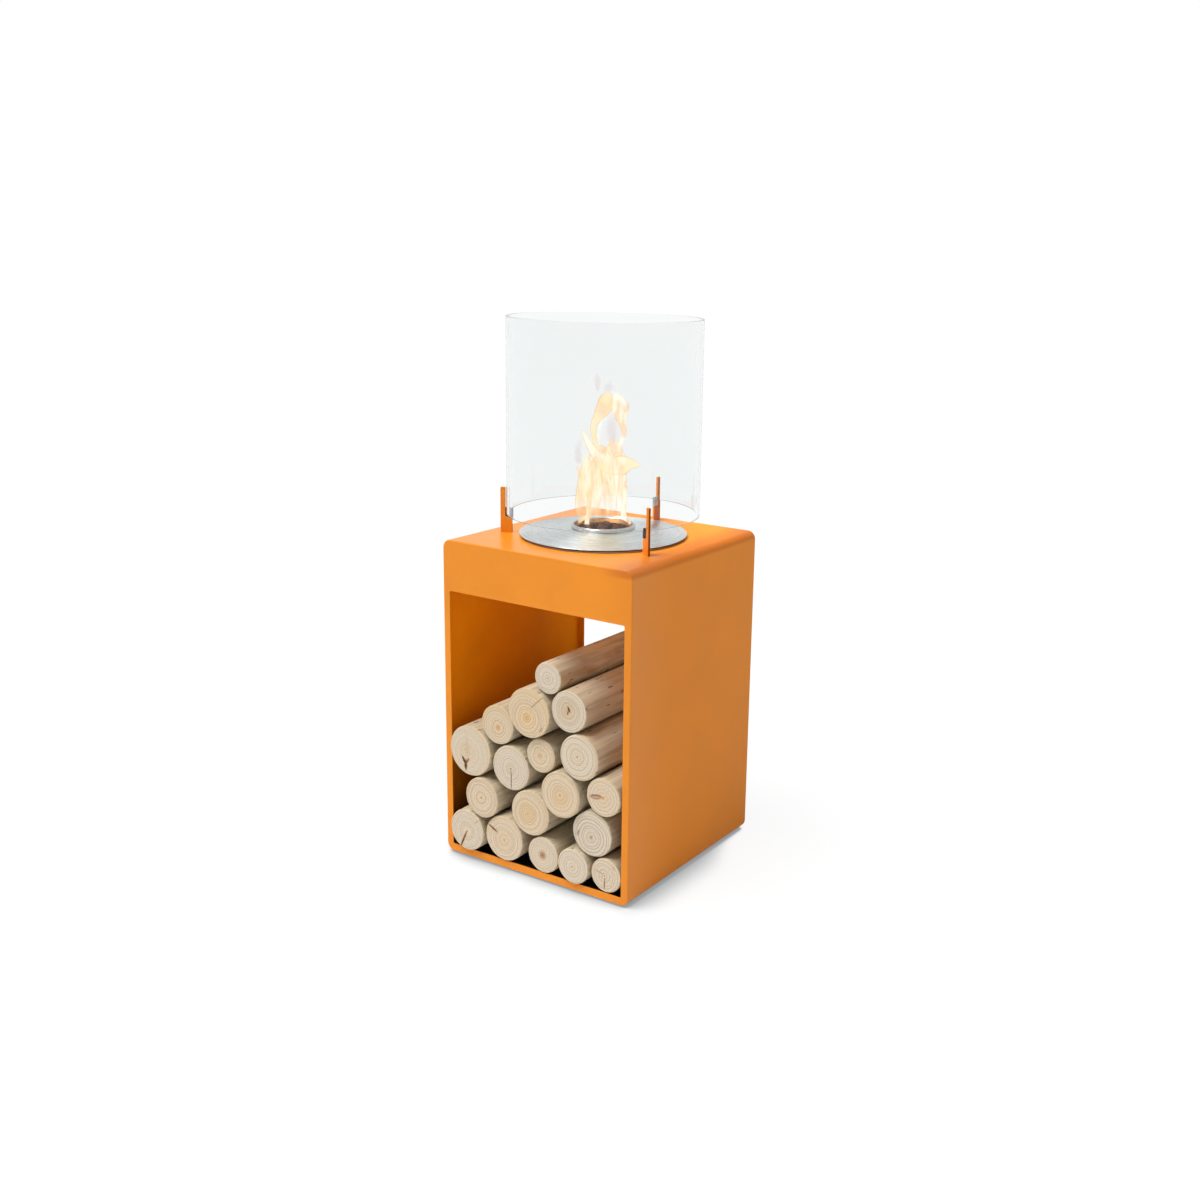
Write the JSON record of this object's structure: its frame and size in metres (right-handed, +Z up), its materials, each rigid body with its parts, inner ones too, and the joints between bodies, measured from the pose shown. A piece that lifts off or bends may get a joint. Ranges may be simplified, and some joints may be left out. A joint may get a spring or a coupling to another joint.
{
  "type": "bioethanol fireplace",
  "caption": "Free-standing orange steel fireplace: open log bay below, round ethanol burner on top, and a clear glass cylinder on brackets round the flame.",
  "frame": {"origin": "centre of the footprint, on the floor", "axes": "+X to the right along the front, +Y to the back, +Z up; the pictured front faces -Y"},
  "size_m": [0.4, 0.416, 0.969],
  "materials": {
    "orange_coat": "fine satin powder coat",
    "black_coat": "matt black heat-proof coat",
    "brushed_steel": "stainless, brushed in circles",
    "polished_steel": "stainless, finely turned",
    "zinc_steel": "plain zinc-plated steel",
    "seal": "matt black heat-proof silicone",
    "ceramic_wool": "soft ceramic fibre",
    "dark_stone": "rough dark ceramic stone",
    "clear_glass": "clear toughened glass",
    "peeled_wood": "peeled dry round wood"
  },
  "bodies": {
    "body": {"body_wrap": "orange_coat", "front_frame": "orange_coat", "rear_frame": "orange_coat", "bay_liner": "black_coat", "ceiling_rail_left": "orange_coat", "ceiling_rail_right": "orange_coat", "bay_ceiling": "orange_coat", "burner_pan": "zinc_steel", "plate_gasket": "seal", "foot_1": "seal", "ceiling_screw_1": "zinc_steel", "foot_2": "seal", "ceiling_screw_2": "zinc_steel", "foot_3": "seal", "ceiling_screw_3": "zinc_steel", "foot_4": "seal", "ceiling_screw_4": "zinc_steel", "bracket_rear": "orange_coat", "glass_shoe_rear": "seal", "bracket_left": "orange_coat", "glass_shoe_left": "seal", "bracket_right": "orange_coat", "glass_shoe_right": "seal", "log_01": "peeled_wood", "log_02": "peeled_wood", "log_03": "peeled_wood", "log_04": "peeled_wood", "log_05": "peeled_wood", "log_06": "peeled_wood", "log_07": "peeled_wood", "log_08": "peeled_wood", "log_09": "peeled_wood", "log_10": "peeled_wood", "log_11": "peeled_wood", "log_12": "peeled_wood", "log_13": "peeled_wood", "log_14": "peeled_wood", "log_15": "peeled_wood", "log_16": "peeled_wood", "log_17": "peeled_wood"},
    "glass": {"glass_cylinder": "clear_glass"},
    "plate": {"burner_plate": "brushed_steel"},
    "canister": {"fuel_canister": "polished_steel", "fuel_wool": "ceramic_wool", "stone_grate": "zinc_steel", "stone_1": "dark_stone", "stone_2": "dark_stone", "stone_3": "dark_stone", "stone_4": "dark_stone", "stone_5": "dark_stone", "stone_6": "dark_stone", "stone_7": "dark_stone"},
    "top_log": {"log_18": "peeled_wood"}
  },
  "joints": [
    {"name": "glass_lift", "type": "slide", "parent": "body", "child": "glass", "axis": [0, 0, 1], "range_m": [0, 0.12]},
    {"name": "plate_lift", "type": "slide", "parent": "body", "child": "plate", "axis": [0, 0, 1], "range_m": [0, 0.12]},
    {"name": "canister_lift", "type": "slide", "parent": "plate", "child": "canister", "axis": [0, 0, 1], "range_m": [0, 0.12]},
    {"name": "top_log_slide", "type": "slide", "parent": "body", "child": "top_log", "axis": [0, -1, 0], "range_m": [0, 0.42]}
  ]
}
